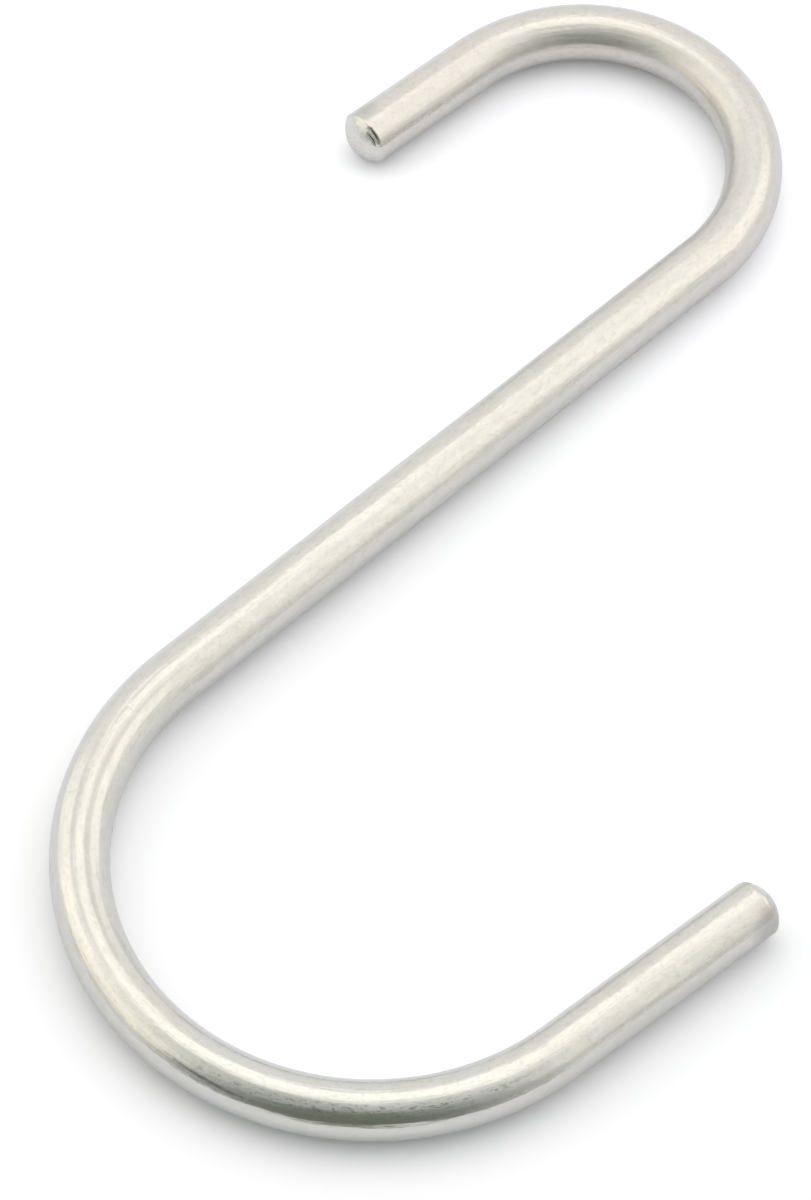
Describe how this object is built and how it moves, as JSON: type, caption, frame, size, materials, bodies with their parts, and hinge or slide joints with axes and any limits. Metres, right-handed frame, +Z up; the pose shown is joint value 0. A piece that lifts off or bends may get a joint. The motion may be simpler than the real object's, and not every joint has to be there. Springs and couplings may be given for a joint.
{
  "type": "s hook",
  "caption": "Flat S-shaped hook bent from round steel wire, with a small hook at one end, a larger one at the other and domed wire ends.",
  "frame": {"origin": "middle of the hook's footprint, on the surface that it lies on", "axes": "+Y along the shank towards the small hook; +X towards the long leg; +Z up, out of the plane of the hook"},
  "size_m": [0.081, 0.102, 0.0048],
  "materials": {
    "satin_steel": "satin, warm grey, with fine drawing lines and light handling marks"
  },
  "bodies": {
    "root": {"s_hook": "satin_steel"}
  },
  "joints": []
}
